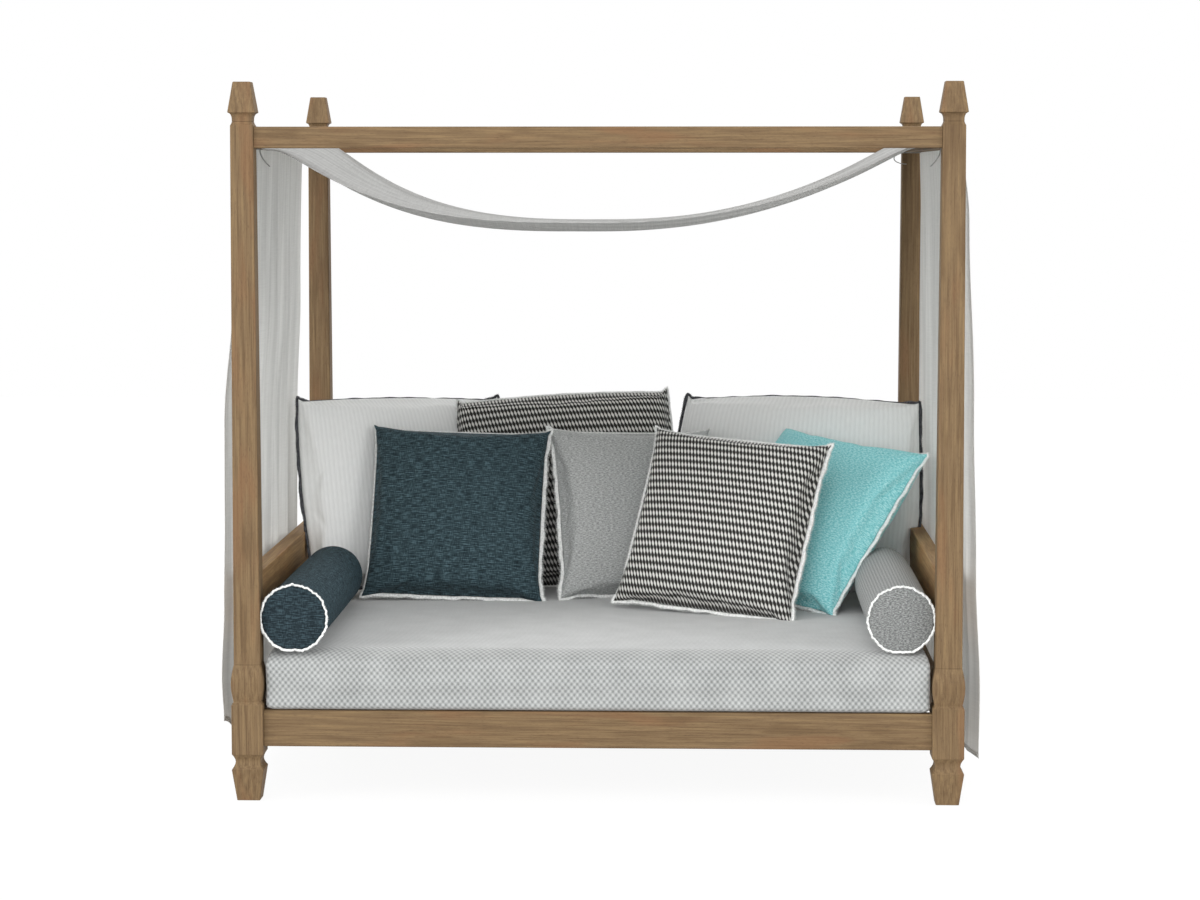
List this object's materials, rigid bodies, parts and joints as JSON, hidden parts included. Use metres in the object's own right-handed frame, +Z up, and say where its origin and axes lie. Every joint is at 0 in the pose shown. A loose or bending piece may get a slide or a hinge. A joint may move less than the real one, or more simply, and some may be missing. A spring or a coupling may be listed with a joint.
{
  "type": "outdoor daybed with canopy",
  "caption": "Teak daybed with four carved posts, a canopy frame with a sagging cloth and side curtains, a mattress, bolsters and loose pillows.",
  "frame": {"origin": "on the floor, under the middle of the bed", "axes": "+X to the right as seen from the front, +Y to the back, +Z up"},
  "size_m": [2.079, 1.7, 1.968],
  "materials": {
    "teak": "weathered, matt",
    "zinc": "zinc plated",
    "mattress": "basket weave",
    "ribbed": "fine ribs",
    "check": "houndstooth",
    "navy": "tweed",
    "grey": "fine weave",
    "aqua": "fine weave",
    "canopy": "thin voile"
  },
  "bodies": {
    "root": {"leg_front_left": "teak", "post_front_left": "teak", "finial_front_left": "teak", "corner_brace_front_left": "zinc", "corner_bolt_front_left": "zinc", "corner_tie_front_left": "canopy", "leg_front_right": "teak", "post_front_right": "teak", "finial_front_right": "teak", "corner_brace_front_right": "zinc", "corner_bolt_front_right": "zinc", "corner_tie_front_right": "canopy", "leg_rear_right": "teak", "post_rear_right": "teak", "finial_rear_right": "teak", "corner_brace_rear_right": "zinc", "corner_bolt_rear_right": "zinc", "corner_tie_rear_right": "canopy", "leg_rear_left": "teak", "post_rear_left": "teak", "finial_rear_left": "teak", "corner_brace_rear_left": "zinc", "corner_bolt_rear_left": "zinc", "corner_tie_rear_left": "canopy", "centre_beam": "teak", "ledger_front": "teak", "ledger_rear": "teak", "arm_board_left": "teak", "arm_board_right": "teak", "back_board": "teak", "seat_rail_front": "teak", "canopy_rail_front": "teak", "seat_rail_rear": "teak", "canopy_rail_rear": "teak", "seat_rail_left": "teak", "canopy_rail_left": "teak", "seat_rail_right": "teak", "canopy_rail_right": "teak", "slat_1": "teak", "slat_2": "teak", "slat_3": "teak", "slat_4": "teak", "slat_5": "teak", "slat_6": "teak", "slat_7": "teak", "slat_8": "teak", "slat_9": "teak", "mattress": "mattress", "bolster_left": "navy", "bolster_right": "grey", "pillow_ribbed_left": "ribbed", "pillow_ribbed_right": "ribbed", "pillow_check_rear": "check", "pillow_check_front": "check", "pillow_grey": "grey", "pillow_navy": "navy", "pillow_aqua": "aqua", "canopy_sheet": "canopy", "curtain_left": "canopy", "curtain_right": "canopy"}
  },
  "joints": []
}
